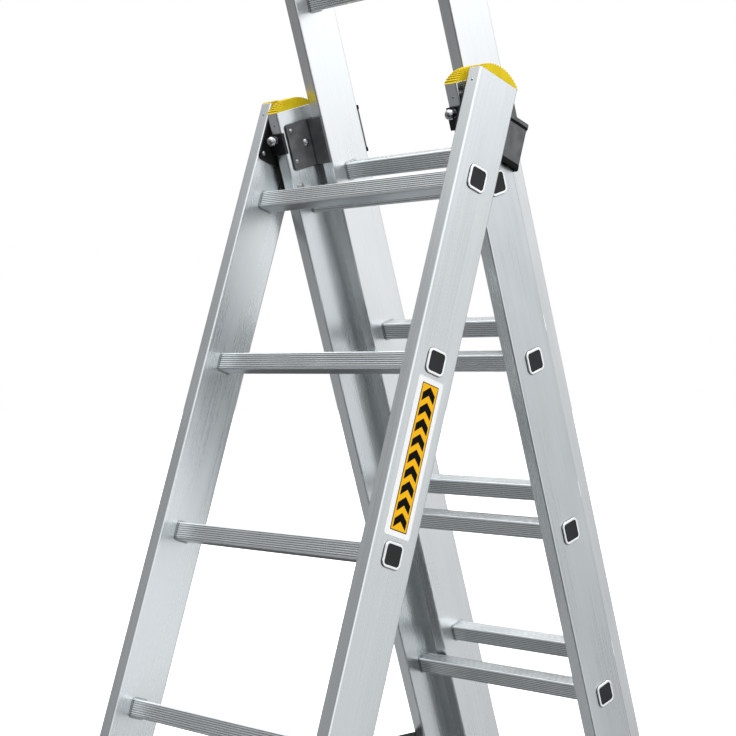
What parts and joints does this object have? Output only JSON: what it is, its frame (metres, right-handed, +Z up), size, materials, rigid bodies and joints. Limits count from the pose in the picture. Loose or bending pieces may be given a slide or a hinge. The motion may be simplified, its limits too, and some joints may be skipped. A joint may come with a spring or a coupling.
{
  "type": "three-section combination ladder",
  "caption": "Aluminium combination ladder standing open as an A-frame, with hinged front and rear sections and an extension section that slides up inside the rear one.",
  "frame": {"origin": "on the floor, midway between the two sections' outermost toes and midway across the ladder", "axes": "+Z up, +X along the rungs to the climber's right, +Y from the front (climbing) section towards the rear section"},
  "size_m": [0.872, 1.3194, 2.5165],
  "materials": {
    "stile_aluminium": "extruded, satin",
    "rung_aluminium": "extruded and ribbed, satin",
    "rung_plug": "moulded, matte",
    "cap_yellow": "moulded, satin",
    "hinge_steel": "black powder coat",
    "bolt_steel": "zinc plated",
    "rivet_steel": "zinc plated",
    "black_plastic": "moulded, matte",
    "guide_steel": "grey coated steel",
    "bracket_steel": "zinc plated",
    "hook_aluminium": "cast, tumbled",
    "rubber_feet": "ribbed tread",
    "webbing": "woven polyester"
  },
  "bodies": {
    "front_section": {"front_stile_left": "stile_aluminium", "front_stile_right": "stile_aluminium", "front_rung_1": "rung_aluminium", "front_rung_2": "rung_aluminium", "front_rung_3": "rung_aluminium", "front_rung_4": "rung_aluminium", "front_rung_5": "rung_aluminium", "front_rung_6": "rung_aluminium", "front_rung_7": "rung_aluminium", "front_rung_plugs": "rung_plug", "front_cap_left": "cap_yellow", "front_cap_right": "cap_yellow", "hinge_plate_left": "hinge_steel", "hinge_plate_right": "hinge_steel", "hinge_pins": "bolt_steel", "front_guide_left": "guide_steel", "front_guide_right": "guide_steel", "front_guide_liners": "black_plastic", "front_rivets": "rivet_steel", "stabiliser_bar": "stile_aluminium", "stabiliser_plates": "bracket_steel", "stabiliser_bolts": "bolt_steel", "stabiliser_feet": "rubber_feet", "webbing_left": "webbing", "webbing_right": "webbing"},
    "rear_section": {"rear_stile_left": "stile_aluminium", "rear_stile_right": "stile_aluminium", "rear_rung_1": "rung_aluminium", "rear_rung_2": "rung_aluminium", "rear_rung_3": "rung_aluminium", "rear_rung_4": "rung_aluminium", "rear_rung_5": "rung_aluminium", "rear_rung_6": "rung_aluminium", "rear_rung_7": "rung_aluminium", "rear_rung_plugs": "rung_plug", "rear_cap_left": "cap_yellow", "rear_cap_right": "cap_yellow", "hinge_strap_left": "hinge_steel", "hinge_strap_right": "hinge_steel", "strap_bolts": "bolt_steel", "rear_guide_left": "guide_steel", "rear_guide_right": "guide_steel", "rear_guide_liners": "black_plastic", "rear_rivets": "rivet_steel", "rear_foot_left": "rubber_feet", "rear_foot_right": "rubber_feet"},
    "extension_section": {"extension_stile_left": "stile_aluminium", "extension_stile_right": "stile_aluminium", "extension_rung_1": "rung_aluminium", "extension_rung_2": "rung_aluminium", "extension_rung_3": "rung_aluminium", "extension_rung_4": "rung_aluminium", "extension_rung_5": "rung_aluminium", "extension_rung_6": "rung_aluminium", "extension_rung_7": "rung_aluminium", "extension_rung_plugs": "rung_plug", "extension_top_caps": "black_plastic", "extension_bottom_caps": "black_plastic", "extension_hooks": "hook_aluminium", "hook_bolts": "bolt_steel"}
  },
  "joints": [
    {"name": "fold", "type": "hinge", "parent": "front_section", "child": "rear_section", "pos_m": [0, 0.00421, 1.78112], "axis": [-1, 0, 0], "range_deg": [0, 36], "deforming": ["webbing_left", "webbing_right"]},
    {"name": "extension_slide", "type": "slide", "parent": "rear_section", "child": "extension_section", "axis": [0, -0.309, 0.9511], "range_m": [0, 0.23]}
  ]
}
